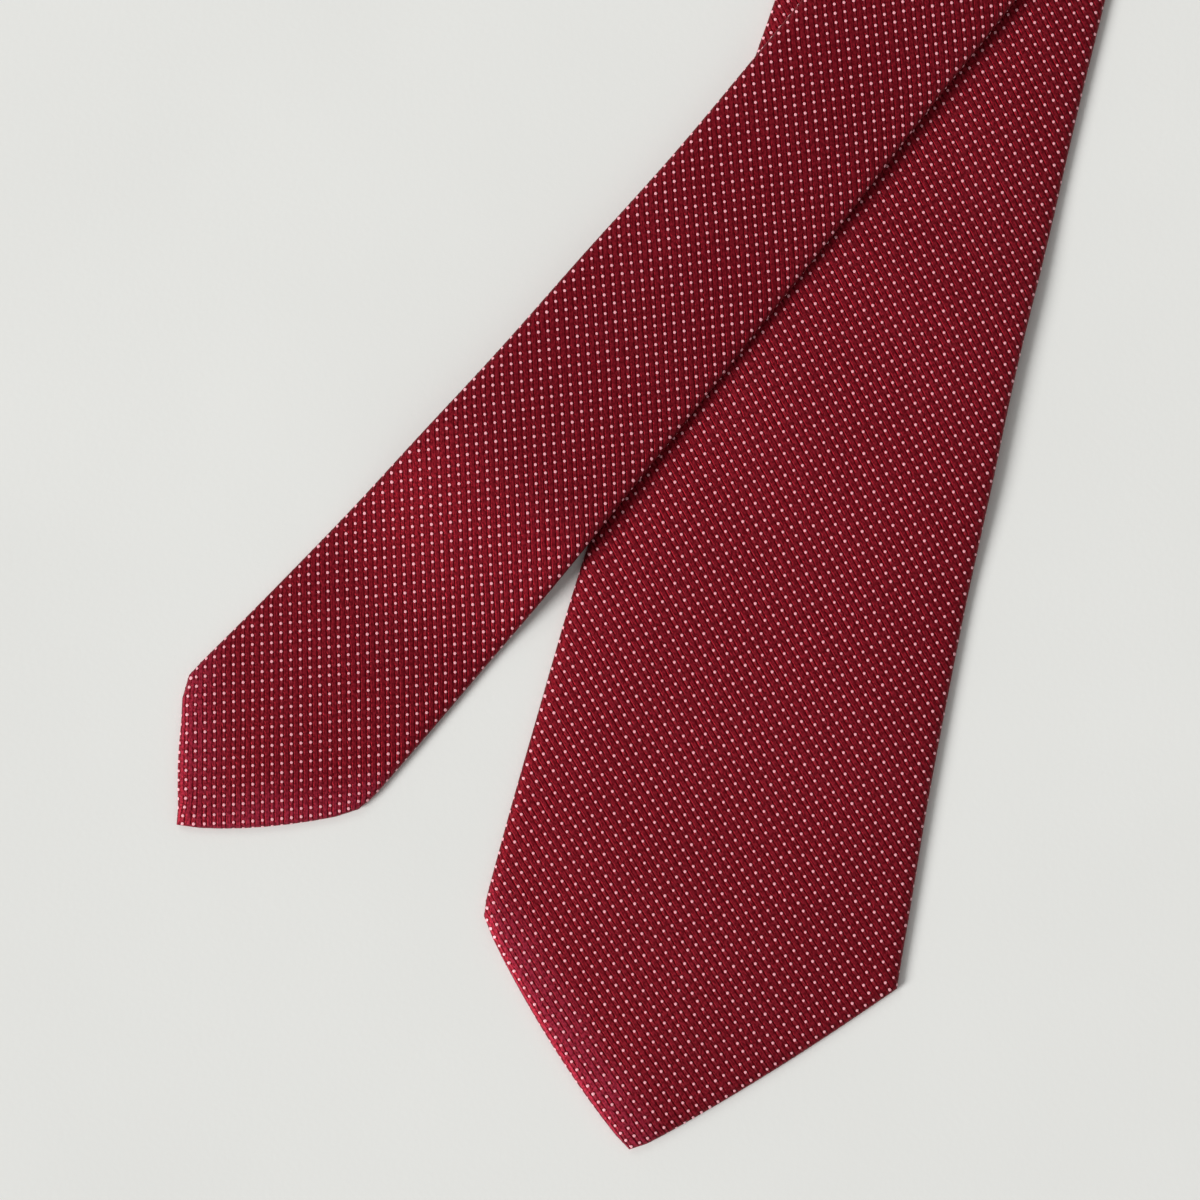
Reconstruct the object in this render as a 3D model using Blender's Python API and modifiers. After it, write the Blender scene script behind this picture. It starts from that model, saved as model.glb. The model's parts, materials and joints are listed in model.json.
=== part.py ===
"""A silk necktie lying flat, with both blades face up and the tail crossing on top of the front blade.

The band is folded twice: the neck piece lies face down over the front blade's upper end, and the tail
blade lies face up over the neck piece's far end. Both folds are hinges. Lengths are in metres, +Z is up,
and headings are in degrees clockwise from +Y.
"""

from math import atan2, cos, degrees, radians, sin, sqrt, tan

import bmesh
import bpy
from mathutils import Vector

MM = 0.001

# Plan: lengths run from each blade's tip, and the blades' centre lines cross at the layout's origin.
FRONT_LENGTH = 665 * MM
FRONT_CROSSING = 252 * MM
FRONT_WIDTH = 88.3 * MM
FRONT_TAPER = 0.1075
FRONT_BLEND = 8 * MM
FRONT_TIP = {"offset": -4.3 * MM, "left": 39.8 * MM, "right": 42.6 * MM, "half": 41.8 * MM}
TAIL_LENGTH = 650 * MM
TAIL_CROSSING = 237 * MM
TAIL_WIDTH = 45.2 * MM
TAIL_TAPER = 0.07
TAIL_BLEND = 4 * MM
TAIL_TIP = {"offset": -2.0 * MM, "left": 22.6 * MM, "right": 26.4 * MM, "half": 21.6 * MM}
NECK_WIDTH = 32 * MM
TIP_BULGE = 1.4 * MM
TIP_FADE = 100 * MM
FOLD_FADE = 50 * MM
MITRE = sqrt(2)
STEP = 1 * MM

# Stack through the thickness, from the cloth's back to its face.
THICKNESS = 3.2 * MM
CLOTH = 0.45 * MM
LINING_BOTTOM = 0.65 * MM
LINING = 0.3 * MM
WOOL_BOTTOM = 1.15 * MM
WOOL = 1.4 * MM
LAYER_GAP = 0.4 * MM
ROLL = THICKNESS / 2
ROLL_ANGLES = (90, 30, -30, -90)

# Back of the blades.
SEAM_HALF_GAP = 0.7 * MM
FLAP_AT_CORNER = 10 * MM
FRONT_HEM = 8 * MM
FRONT_TACK = 105 * MM
HEM_STITCH_GAP = 2.2 * MM
TAIL_HEM = 6 * MM
TAIL_TACK = 62 * MM
THREAD_RADIUS = 0.18 * MM
SEAM_THREAD_RADIUS = 0.25 * MM
FOLD_CLEARANCE = 0.3 * MM
WOOL_CLEARANCE = 3.5 * MM
SEAM_INSET = 1.6 * MM
WOOL_INSET = 2.2 * MM
LINING_INSET = 3 * MM
STITCH_STEP = 25 * MM
SEAM_START = 3 * MM
SEAM_END = 2 * MM
SEAM_THREAD_HEIGHT = CLOTH / 2 + 0.04 * MM
HEM_THREAD_HEIGHT = 0.3 * MM
HEM_THREAD_END = 1.5 * MM
PIECING_END = 3 * MM
FRONT_TACK_SIZE = (5 * MM, 1.2 * MM, 0.4 * MM)
FRONT_TACK_BELOW_SEAM = 9 * MM
TAIL_TACK_SIZE = (3.4 * MM, 1 * MM, 0.4 * MM)
TAIL_TACK_BELOW_SEAM = 10 * MM
TACK_BOTTOM = 0.05 * MM

# Keeper loop and label on the front blade's back.
LOOP_PLACE = 165 * MM
LOOP_LENGTH = 44 * MM
LOOP_WIDTH = 11 * MM
LOOP_RAISE = 0.9 * MM
LOOP_BOW = 0.16 * MM
LABEL_SIZE = (16 * MM, 24 * MM, 0.25 * MM)
LABEL_PLACE = 48 * MM
LABEL_BOTTOM = 0.12 * MM
LOOP_COLUMNS = 12
LOOP_TOP = 0.02 * MM + CLOTH - LOOP_RAISE
KEEPER_TACK_SIZE = (1.2 * MM, 6 * MM, 0.4 * MM)
KEEPER_TACK_GAP = 1.2 * MM
KEEPER_TACK_BOTTOM = 0.2 * MM - LOOP_RAISE

OVER_ONE = THICKNESS + LAYER_GAP
OVER_LOOP = OVER_ONE + LOOP_RAISE

# Where the bands rise and come down again over what they lie on, as (from, to) along the band.
LOOP_NEAR = 15 * MM
LOOP_FAR = 45 * MM
NECK_DOWN = (26 * MM, 112 * MM)
TAIL_UP_FRONT = (52 * MM, 100 * MM)
TAIL_DOWN_FRONT = (388 * MM, 452 * MM)
TAIL_UP_NECK = (545 * MM, 602 * MM)

# Rows across the bands, from the tip; even ones carry on from the last to the fold.
FRONT_ROWS = [0, 12 * MM, 32 * MM, 56 * MM, 80 * MM, 105 * MM, 120 * MM, 135 * MM, 150 * MM]
FRONT_ROWS += [180 * MM, 195 * MM, 210 * MM]
FRONT_LINING_ROWS = FRONT_ROWS[:7]
FRONT_ROW_STEP = 40 * MM
TAIL_ROWS = [0, 9 * MM, 22 * MM, 35 * MM, 48 * MM, 62 * MM, 75 * MM, 88 * MM, 100 * MM]
TAIL_LINING_ROWS = TAIL_ROWS[:6]
TAIL_ROW_STEP = 17 * MM
NECK_ROWS = 12

SILK = (0.17, 0.011, 0.017, 1)
WOOL_WHITE = (0.72, 0.68, 0.58, 1)
LINING_RED = (0.11, 0.008, 0.014, 1)
THREAD_RED = (0.14, 0.01, 0.018, 1)
LABEL_CREAM = (0.66, 0.62, 0.54, 1)


def smooth_ramp(value, low, high):
    """0 up to low, 1 from high, and a smooth S between them."""
    share = min(max((value - low) / (high - low), 0), 1)
    return share * share * (3 - 2 * share)


def smooth_most(a, b, blend):
    """The larger of two lengths, rounded over where they meet."""
    return (a + b + sqrt((a - b) ** 2 + blend**2)) / 2


def direction(heading):
    return Vector((sin(radians(heading)), cos(radians(heading))))


def front_heading(s):
    return 16.6 - 7.1 * max(1 - s / (250 * MM), 0) ** 2


def tail_heading(s):
    return 35.3 + 9.0 * max(1 - s / (500 * MM), 0) ** 2


def front_width(s):
    return smooth_most(FRONT_WIDTH - FRONT_TAPER * s, NECK_WIDTH, FRONT_BLEND)


def tail_width(s):
    return smooth_most(TAIL_WIDTH - TAIL_TAPER * s, NECK_WIDTH, TAIL_BLEND)


def neck_width(s):
    return NECK_WIDTH


def front_rise(s):
    """The blade is lifted where it lies on its keeper loop."""
    up = smooth_ramp(s, LOOP_PLACE - LOOP_FAR, LOOP_PLACE - LOOP_NEAR)
    down = smooth_ramp(s, LOOP_PLACE + LOOP_NEAR, LOOP_PLACE + LOOP_FAR)
    return LOOP_RAISE * (up - down)


def neck_rise(s):
    """The neck piece leaves the front blade's top and comes down to the table."""
    return OVER_ONE * (1 - smooth_ramp(s, *NECK_DOWN))


def tail_rise(s):
    """Down at the tip, up over the front blade, down beyond it, and up again over the neck piece."""
    over_front = smooth_ramp(s, *TAIL_UP_FRONT) - smooth_ramp(s, *TAIL_DOWN_FRONT)
    return OVER_LOOP * over_front + OVER_ONE * smooth_ramp(s, *TAIL_UP_NECK)


def trace(length, heading_at, crossing):
    """Centre line points, one STEP apart from the tip, with the crossing at the layout's origin."""
    points = [Vector((0, 0))]
    for index in range(round(length / STEP)):
        points.append(points[-1] + STEP * direction(heading_at((index + 0.5) * STEP)))
    shift = points[round(crossing / STEP)]
    return [point - shift for point in points]


class Band:
    """One length of the tie. s runs from its tip, or from the first fold, to its last fold."""

    def __init__(self, points, heading_at, width_at, rise_at, face_up, rows):
        self.points = points
        self.length = (len(points) - 1) * STEP
        self.heading_at = heading_at
        self.width_at = width_at
        self.rise_at = rise_at
        self.face_up = face_up
        self.rows = rows
        self.tip = None
        self.start_fold = None
        self.end_fold = None

    def centre(self, s):
        """The centre line, carried on straight past both ends."""
        index = min(max(int(s / STEP), 0), len(self.points) - 2)
        low, high = self.points[index], self.points[index + 1]
        return low + (high - low) * (s / STEP - index)

    def slope_of(self, fold):
        """How far a fold line runs along the band for each metre across it."""
        turn = (fold - self.heading_at(self.length) + 90) % 180 - 90
        return 1 / tan(radians(turn))

    def tip_depth(self, t):
        """Distance along the band from the tip to the outline at t, with slightly full sides."""
        left = t < self.tip["offset"]
        depth = self.tip["left"] if left else self.tip["right"]
        reach = self.tip["half"] + (self.tip["offset"] if left else -self.tip["offset"])
        share = abs(t - self.tip["offset"]) / reach
        bulge = MITRE * TIP_BULGE * 4 * share * max(1 - share, 0)
        return depth * share - bulge

    def along(self, t, row, inset, clearance):
        """s at t on a row: rows follow the tip's outline at one end and the fold lines at the others."""
        s = row
        if self.tip:
            s += max(1 - row / TIP_FADE, 0) * (self.tip_depth(t) + MITRE * inset)
        if self.start_fold is not None:
            slope = self.slope_of(self.start_fold)
            gap = clearance * sqrt(1 + slope**2)
            s += max(1 - row / FOLD_FADE, 0) * (t * slope + gap)
        if self.end_fold is not None:
            slope = self.slope_of(self.end_fold)
            gap = clearance * sqrt(1 + slope**2)
            s += max(1 - (self.length - row) / FOLD_FADE, 0) * (t * slope - gap)
        return s

    def place(self, t, s, height, rise_row=None):
        """The point at t across and s along the band, at a height above its back."""
        across = direction(self.heading_at(s) + 90)
        plan = self.centre(s) + across * t
        stack = height if self.face_up else THICKNESS - height
        rise = self.rise_at(s if rise_row is None else rise_row)
        return Vector((plan.x, plan.y, rise + stack))

    def point(self, u, row, inset, height, clearance=FOLD_CLEARANCE):
        """The point at share u of the half width, on a row, inset from the outline."""
        s = row
        for _ in range(4):
            t = u * (self.width_at(s) / 2 - inset)
            s = self.along(t, row, inset, clearance)
        return self.place(t, s, height, row)


def make_material(name, colour, roughness, metallic=0.0):
    material = bpy.data.materials.new(name)
    material.use_nodes = True
    shader = material.node_tree.nodes["Principled BSDF"]
    shader.inputs["Base Color"].default_value = colour
    shader.inputs["Roughness"].default_value = roughness
    shader.inputs["Metallic"].default_value = metallic
    material.diffuse_color = colour
    return material


def add_to_tie(obj, parent, material):
    """Links an object whose points are in the layout, and hangs it on its body's empty."""
    bpy.data.collections["necktie"].objects.link(obj)
    obj.data.materials.append(material)
    obj.parent = parent


def layout_origin(empty):
    """An empty's place in the layout, added up through its parents."""
    place = Vector((0, 0, 0))
    while empty:
        place += empty.location
        empty = empty.parent
    return place


def mapped_grid(bm, columns, rows, place):
    """A grid of columns by rows faces, with each corner moved to place(column, row)."""
    grid = bmesh.ops.create_grid(bm, x_segments=columns, y_segments=rows, size=0.5)
    for vert in grid["verts"]:
        column = round((vert.co.x + 0.5) * columns)
        row = round((vert.co.y + 0.5) * rows)
        vert.co = place(column, row)


def uppermost(faces):
    """A large, level face at the top."""

    def level_height(face):
        return face.calc_area() * abs(face.normal.z) * face.calc_center_median().z

    return max(faces, key=level_height)


def cloth_object(name, bm, thickness, face_up, parent, material):
    """Turns an open surface into a solid sheet, thickened inward from its outer side."""
    bmesh.ops.remove_doubles(bm, verts=bm.verts, dist=0.001 * MM)
    bmesh.ops.recalc_face_normals(bm, faces=bm.faces)
    if uppermost(bm.faces).normal.z < 0:
        bmesh.ops.reverse_faces(bm, faces=bm.faces)
    bmesh.ops.translate(bm, verts=bm.verts, vec=-layout_origin(parent))
    mesh = bpy.data.meshes.new(name)
    bm.to_mesh(mesh)
    bm.free()
    obj = bpy.data.objects.new(name, mesh)
    add_to_tie(obj, parent, material)
    sheet = obj.modifiers.new("Cloth thickness", "SOLIDIFY")
    sheet.thickness = thickness
    sheet.offset = -1
    return obj


def boundary_stations(band, shares):
    """Runs of (share, row, end) along the edges that the cloth folds round."""
    left = [(-1, row) for row in band.rows]
    right = [(1, row) for row in band.rows]
    if not band.tip:
        return [left, right]
    return [left[:0:-1] + [(share, 0) for share in shares] + right[1:]]


def inner_edge(band, row, hem, tack):
    """Half the gap between the back flaps: a seam, opening below the bar tack."""
    if not band.tip:
        return SEAM_HALF_GAP
    corner = band.tip["half"] - ROLL - FLAP_AT_CORNER
    share = min(max((tack - row) / (tack - hem), 0), 1)
    return SEAM_HALF_GAP + (corner - SEAM_HALF_GAP) * share


def make_shell(name, band, shares, hem, tack, parent, material):
    """The folded silk: its face, the rolled edges, and the flaps and hem turned to the back."""
    bm = bmesh.new()
    rows = band.rows
    mapped_grid(
        bm,
        len(shares) - 1,
        len(rows) - 1,
        lambda column, row: band.point(shares[column], rows[row], ROLL, THICKNESS),
    )
    for run in boundary_stations(band, shares):

        def place(station, ring):
            share, row = run[station]
            if ring < len(ROLL_ANGLES):
                angle = radians(ROLL_ANGLES[ring])
                return band.point(share, row, ROLL * (1 - cos(angle)), ROLL * (1 + sin(angle)))
            inner = inner_edge(band, max(row, hem), hem, tack)
            half = band.width_at(row) / 2 - ROLL
            turned = row if row > 0 or not band.tip else hem
            return band.point(share * inner / half, turned, ROLL, 0)

        mapped_grid(bm, len(run) - 1, len(ROLL_ANGLES), place)
    return cloth_object(name, bm, CLOTH, band.face_up, parent, material)


def make_layer(name, band, shares, rows, inset, bottom, thickness, clearance, parent, material):
    """A flat layer inside the shell."""
    bm = bmesh.new()
    top = bottom + thickness if band.face_up else bottom
    mapped_grid(
        bm,
        len(shares) - 1,
        len(rows) - 1,
        lambda column, row: band.point(shares[column], rows[row], inset, top, clearance),
    )
    return cloth_object(name, bm, thickness, True, parent, material)


def make_thread(name, points, radius, parent, material):
    """A round thread through the points."""
    curve = bpy.data.curves.new(name, "CURVE")
    curve.dimensions = "3D"
    curve.bevel_depth = radius
    curve.bevel_resolution = 2
    curve.use_fill_caps = True
    spline = curve.splines.new("POLY")
    spline.points.add(len(points) - 1)
    origin = layout_origin(parent)
    for slot, point in zip(spline.points, points):
        slot.co = (*(point - origin), 1)
    obj = bpy.data.objects.new(name, curve)
    add_to_tie(obj, parent, material)
    return obj


def make_slip_stitch(name, band, start, parent, material):
    """The thread that closes the back seam, lying between the flaps."""
    end = band.length - SEAM_END
    count = round((end - start) / STITCH_STEP)
    places = [start + (end - start) * index / count for index in range(count + 1)]
    points = [band.place(0, s, SEAM_THREAD_HEIGHT) for s in places]
    return make_thread(name, points, THREAD_RADIUS, parent, material)


def make_hem_stitch(name, band, hem, parent, material):
    """The thread along the hem's inner edge, from corner to corner round the tip."""
    reach = (band.tip["half"] - ROLL - FLAP_AT_CORNER - HEM_THREAD_END) / band.tip["half"]
    tip_share = band.tip["offset"] / band.tip["half"]
    left = [-reach + (tip_share + reach) * index / 6 for index in range(7)]
    right = [tip_share + (reach - tip_share) * index / 6 for index in range(1, 7)]
    points = [band.point(share, hem + HEM_STITCH_GAP, ROLL, HEM_THREAD_HEIGHT) for share in left + right]
    return make_thread(name, points, THREAD_RADIUS * 0.8, parent, material)


def make_piecing_seam(name, band, parent, material):
    """The thread line along a fold, where two cuts of silk are joined."""
    reach = 1 - PIECING_END / (NECK_WIDTH / 2)
    shares = [-reach + 2 * reach * index / 8 for index in range(9)]
    points = [band.point(u, band.length, 0, ROLL, SEAM_INSET) for u in shares]
    return make_thread(name, points, SEAM_THREAD_RADIUS, parent, material)


def make_bar(name, band, t, row, size, bottom, parent, material):
    """A small rounded pad, such as a bar tack or a label, square to the band."""
    bm = bmesh.new()
    bmesh.ops.create_cube(bm, size=1)
    bmesh.ops.scale(bm, verts=bm.verts, vec=size)
    mesh = bpy.data.meshes.new(name)
    bm.to_mesh(mesh)
    bm.free()
    obj = bpy.data.objects.new(name, mesh)
    add_to_tie(obj, parent, material)
    share = t / (band.width_at(row) / 2 - LINING_INSET)
    middle = band.point(share, row, LINING_INSET, bottom + size[2] / 2)
    obj.location = middle - layout_origin(parent)
    obj.rotation_euler = (0, 0, -radians(band.heading_at(row)))
    edges = obj.modifiers.new("Soft edges", "BEVEL")
    edges.width = size[2] * 0.3
    edges.segments = 2
    return obj


def make_keeper_loop(band, parent, material):
    """The strip across the back that the tail passes through, bowed away from the blade."""
    bm = bmesh.new()

    def place(column, row):
        share = 2 * column / LOOP_COLUMNS - 1
        s = LOOP_PLACE + (row - 0.5) * LOOP_WIDTH
        return band.place(share * LOOP_LENGTH / 2, s, LOOP_TOP + LOOP_BOW * share**4)

    mapped_grid(bm, LOOP_COLUMNS, 1, place)
    return cloth_object("keeper_loop", bm, CLOTH, True, parent, material)


def add_empty(name, location, parent):
    empty = bpy.data.objects.new(name, None)
    empty.empty_display_size = 0.02
    bpy.data.collections["necktie"].objects.link(empty)
    empty.location = location
    empty.parent = parent
    return empty


def spaced_rows(starts, length, spacing):
    """Given rows, then even ones up to the start of the fold's skewed stretch, then its own."""
    last = starts[-1]
    straight_end = length - FOLD_FADE
    count = round((straight_end - last) / spacing)
    even = [last + (straight_end - last) * index / count for index in range(1, count + 1)]
    skewed = [length - FOLD_FADE / 2, length]
    return starts + even + skewed


def make_bands():
    """The three lengths of the tie in the layout, with their folds."""
    front = Band(
        trace(FRONT_LENGTH, front_heading, FRONT_CROSSING),
        front_heading,
        front_width,
        front_rise,
        True,
        spaced_rows(FRONT_ROWS, FRONT_LENGTH, FRONT_ROW_STEP),
    )
    tail = Band(
        trace(TAIL_LENGTH, tail_heading, TAIL_CROSSING),
        tail_heading,
        tail_width,
        tail_rise,
        True,
        spaced_rows(TAIL_ROWS, TAIL_LENGTH, TAIL_ROW_STEP),
    )
    first, second = front.points[-1], tail.points[-1]
    reach = (second - first).length
    heading = degrees(atan2(second.x - first.x, second.y - first.y))
    count = round(reach / STEP)
    neck_points = [first + (second - first) * index / count for index in range(count + 1)]
    neck = Band(neck_points, lambda s: heading, neck_width, neck_rise, False, [])
    neck.rows = [neck.length * index / NECK_ROWS for index in range(NECK_ROWS + 1)]
    front.tip = FRONT_TIP
    tail.tip = TAIL_TIP
    front.end_fold = neck.start_fold = (front_heading(FRONT_LENGTH) + heading) / 2
    tail.end_fold = neck.end_fold = (tail_heading(TAIL_LENGTH) + 180 + heading) / 2
    return front, neck, tail


def make_front(front, empty, materials):
    shares = (-1, -0.55, FRONT_TIP["offset"] / FRONT_TIP["half"], 0.4, 1)
    make_shell("front_shell", front, shares, FRONT_HEM, FRONT_TACK, empty, materials["silk"])
    make_layer(
        "front_interlining", front, shares, front.rows, WOOL_INSET, WOOL_BOTTOM, WOOL,
        WOOL_CLEARANCE, empty, materials["wool"],
    )
    make_layer(
        "front_tipping", front, shares, FRONT_LINING_ROWS, LINING_INSET, LINING_BOTTOM, LINING,
        FOLD_CLEARANCE, empty, materials["lining"],
    )
    make_slip_stitch("front_slip_stitch", front, FRONT_TACK + SEAM_START, empty, materials["thread"])
    make_hem_stitch("front_hem_stitch", front, FRONT_HEM, empty, materials["thread"])
    make_piecing_seam("front_piecing_seam", front, empty, materials["thread"])
    row = FRONT_TACK - FRONT_TACK_BELOW_SEAM
    make_bar("front_bar_tack", front, 0, row, FRONT_TACK_SIZE, TACK_BOTTOM, empty, materials["thread"])
    make_bar("care_label", front, 0, LABEL_PLACE, LABEL_SIZE, LABEL_BOTTOM, empty, materials["label"])
    make_keeper_loop(front, empty, materials["silk"])
    for name, side in (("keeper_tack_left", -1), ("keeper_tack_right", 1)):
        t = side * (LOOP_LENGTH / 2 + KEEPER_TACK_GAP)
        thread = materials["thread"]
        make_bar(name, front, t, LOOP_PLACE, KEEPER_TACK_SIZE, KEEPER_TACK_BOTTOM, empty, thread)


def make_neck(neck, empty, materials):
    shares = (-1, 0, 1)
    make_shell("neck_shell", neck, shares, 0, 0, empty, materials["silk"])
    make_layer(
        "neck_interlining", neck, shares, neck.rows, WOOL_INSET, WOOL_BOTTOM, WOOL,
        WOOL_CLEARANCE, empty, materials["wool"],
    )
    make_slip_stitch("neck_slip_stitch", neck, SEAM_END, empty, materials["thread"])


def make_tail(tail, empty, materials):
    shares = (-1, TAIL_TIP["offset"] / TAIL_TIP["half"], 1)
    make_shell("tail_shell", tail, shares, TAIL_HEM, TAIL_TACK, empty, materials["silk"])
    make_layer(
        "tail_interlining", tail, shares, tail.rows, WOOL_INSET, WOOL_BOTTOM, WOOL,
        WOOL_CLEARANCE, empty, materials["wool"],
    )
    make_layer(
        "tail_tipping", tail, shares, TAIL_LINING_ROWS, LINING_INSET, LINING_BOTTOM, LINING,
        FOLD_CLEARANCE, empty, materials["lining"],
    )
    make_slip_stitch("tail_slip_stitch", tail, TAIL_TACK + SEAM_START, empty, materials["thread"])
    make_hem_stitch("tail_hem_stitch", tail, TAIL_HEM, empty, materials["thread"])
    make_piecing_seam("tail_piecing_seam", tail, empty, materials["thread"])
    row = TAIL_TACK - TAIL_TACK_BELOW_SEAM
    make_bar("tail_bar_tack", tail, 0, row, TAIL_TACK_SIZE, TACK_BOTTOM, empty, materials["thread"])


def centre_layout(root):
    """Moves the root empty so that the origin is under the middle of the whole tie."""
    bpy.context.view_layer.update()
    corners = []
    for obj in bpy.data.collections["necktie"].objects:
        if obj.type == "MESH":
            corners += [obj.matrix_world @ vert.co for vert in obj.data.vertices]
    xs = [corner.x for corner in corners]
    ys = [corner.y for corner in corners]
    root.location = (-(min(xs) + max(xs)) / 2, -(min(ys) + max(ys)) / 2, 0)


def main():
    for obj in list(bpy.data.objects):
        bpy.data.objects.remove(obj)
    collection = bpy.data.collections.new("necktie")
    bpy.context.scene.collection.children.link(collection)
    materials = {
        "silk": make_material("silk", SILK, 0.42),
        "wool": make_material("wool", WOOL_WHITE, 0.95),
        "lining": make_material("lining", LINING_RED, 0.35),
        "thread": make_material("thread", THREAD_RED, 0.6),
        "label": make_material("label", LABEL_CREAM, 0.5),
    }
    front, neck, tail = make_bands()
    fold_height = THICKNESS + LAYER_GAP / 2
    first = Vector((*front.points[-1], fold_height))
    second = Vector((*tail.points[-1], fold_height))
    root = add_empty("front_body", (0, 0, 0), None)
    neck_axis = add_empty("front_fold_axis", first, root)
    tail_axis = add_empty("tail_fold_axis", second - first, neck_axis)
    make_front(front, root, materials)
    make_neck(neck, neck_axis, materials)
    make_tail(tail, tail_axis, materials)
    centre_layout(root)


main()
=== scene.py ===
import json
from math import cos, pi, radians, sin, sqrt, tan

import bpy
import numpy as np
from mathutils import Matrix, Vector


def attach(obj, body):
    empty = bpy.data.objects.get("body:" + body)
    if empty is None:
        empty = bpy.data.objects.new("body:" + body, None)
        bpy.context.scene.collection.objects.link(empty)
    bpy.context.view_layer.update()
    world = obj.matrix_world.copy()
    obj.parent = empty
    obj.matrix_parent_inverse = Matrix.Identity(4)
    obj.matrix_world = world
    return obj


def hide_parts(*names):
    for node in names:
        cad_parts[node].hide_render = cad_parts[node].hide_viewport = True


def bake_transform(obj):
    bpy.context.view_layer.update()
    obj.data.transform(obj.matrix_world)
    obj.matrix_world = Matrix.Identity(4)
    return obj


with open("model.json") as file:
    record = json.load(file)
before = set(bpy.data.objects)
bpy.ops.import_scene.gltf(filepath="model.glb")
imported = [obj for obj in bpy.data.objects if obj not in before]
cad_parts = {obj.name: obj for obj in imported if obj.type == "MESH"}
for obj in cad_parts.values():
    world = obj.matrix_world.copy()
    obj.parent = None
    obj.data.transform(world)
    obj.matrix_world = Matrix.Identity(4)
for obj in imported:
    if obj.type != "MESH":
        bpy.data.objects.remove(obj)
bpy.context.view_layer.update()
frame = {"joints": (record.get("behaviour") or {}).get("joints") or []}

# The tie's bands are built again here from the same rules as its CAD, with finer cloth.
# Lengths are in metres. s runs along a band, t across it to the right, and headings are in
# degrees clockwise from +Y.
MM = 0.001

FRONT_LENGTH = 665 * MM
FRONT_TIP = {"offset": -4.3 * MM, "left": 39.8 * MM, "right": 42.6 * MM, "half": 41.8 * MM}
TAIL_LENGTH = 650 * MM
TAIL_TIP = {"offset": -2.0 * MM, "left": 22.6 * MM, "right": 26.4 * MM, "half": 21.6 * MM}
NECK_WIDTH = 32 * MM
TIP_BULGE = 1.4 * MM
TIP_FADE = 100 * MM
FOLD_FADE = 50 * MM
MITRE = sqrt(2)
STEP = 1 * MM

# A course: the heading far from the tip, the extra turn at the tip, and where that turn ends.
FRONT_COURSE = (16.6, -7.1, 250 * MM)
TAIL_COURSE = (35.3, 9.0, 500 * MM)

# A cut: the width carried on to the tip, its taper, and the blend into the neck's width.
FRONT_CUT = (88.3 * MM, 0.1075, 8 * MM)
TAIL_CUT = (45.2 * MM, 0.07, 4 * MM)
NECK_CUT = (NECK_WIDTH, 0, 0)

THICKNESS = 3.2 * MM
CLOTH = 0.45 * MM
SEAM_LIFT = 0.2 * MM
LINING_BOTTOM = 0.65 * MM
LINING = 0.3 * MM
LINING_INSET = 3 * MM
WOOL_INSET = 2.6 * MM
WOOL_CLEARANCE = 3.5 * MM
WOOL_BOTTOM = 1.15 * MM
WOOL = 1.1 * MM
LAYER_GAP = 0.4 * MM
LOOP_RAISE = 0.9 * MM
OVER_ONE = THICKNESS + LAYER_GAP
OVER_LOOP = OVER_ONE + LOOP_RAISE
FOLD_CLEARANCE = 0.3 * MM

SEAM_HALF_GAP = 0.06 * MM
FLAP_AT_CORNER = 10 * MM
FRONT_HEM = 8 * MM
FRONT_TACK = 105 * MM
TAIL_HEM = 6 * MM
TAIL_TACK = 62 * MM
LOOP_PLACE = 165 * MM
LOOP_LENGTH = 44 * MM
LOOP_WIDTH = 11 * MM
LOOP_BOW = 0.16 * MM
LABEL_PLACE = 48 * MM
LABEL_WIDTH = 16 * MM
LABEL_LENGTH = 24 * MM
LABEL_TAPE = 0.18 * MM
FRONT_LINING_END = 120 * MM
TAIL_LINING_END = 62 * MM

# How a band lies: its height over the table at its start, then each slope up or down with
# the places where it starts and ends.
FRONT_SLOPES = (
    0,
    (LOOP_RAISE, LOOP_PLACE - 45 * MM, LOOP_PLACE - 15 * MM),
    (-LOOP_RAISE, LOOP_PLACE + 15 * MM, LOOP_PLACE + 45 * MM),
)
NECK_SLOPES = (OVER_ONE, (-OVER_ONE, 26 * MM, 112 * MM))
TAIL_SLOPES = (
    0,
    (OVER_LOOP, 52 * MM, 100 * MM),
    (-OVER_LOOP, 388 * MM, 452 * MM),
    (OVER_ONE, 545 * MM, 602 * MM),
)

# The rolled edge: how far in it starts, how square its section is, and its steps.
REACH = 3.2 * MM
SQUARENESS = 2.3
ROLL_STEPS = 12

# How finely the cloth is divided, and the least that a flap and a hem turn.
FLAP_STEPS = 8
FOLD_STEPS = 14
FOLD_COLUMNS = 14
FOLD_PROBE = 20 * MM
SPACING = 3 * MM
WOOL_SPACING = 5 * MM
TIP_SPACING = 1.5 * MM
TIP_ROWS_END = 24 * MM
FLAP_LEAST = 0.2 * MM
HEM_LEAST_SHARE = 0.04

# Small unevenness of real cloth.
FACE_DIP = 0.22 * MM
FACE_SWELL_LENGTH = 58 * MM
CROWN = 0.7 * MM
CROWN_REACH = 8 * MM
TIP_CROWN = 0.6 * MM
TIP_CROWN_REACH = 12 * MM
TIP_CROWN_FADE = (20 * MM, 90 * MM)
EDGE_WAVE = 0.25 * MM
EDGE_WAVE_LENGTH = 71 * MM
EDGE_WAVE_START = (30 * MM, 80 * MM)
CORNER_SIZE = 2 * MM

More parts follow.
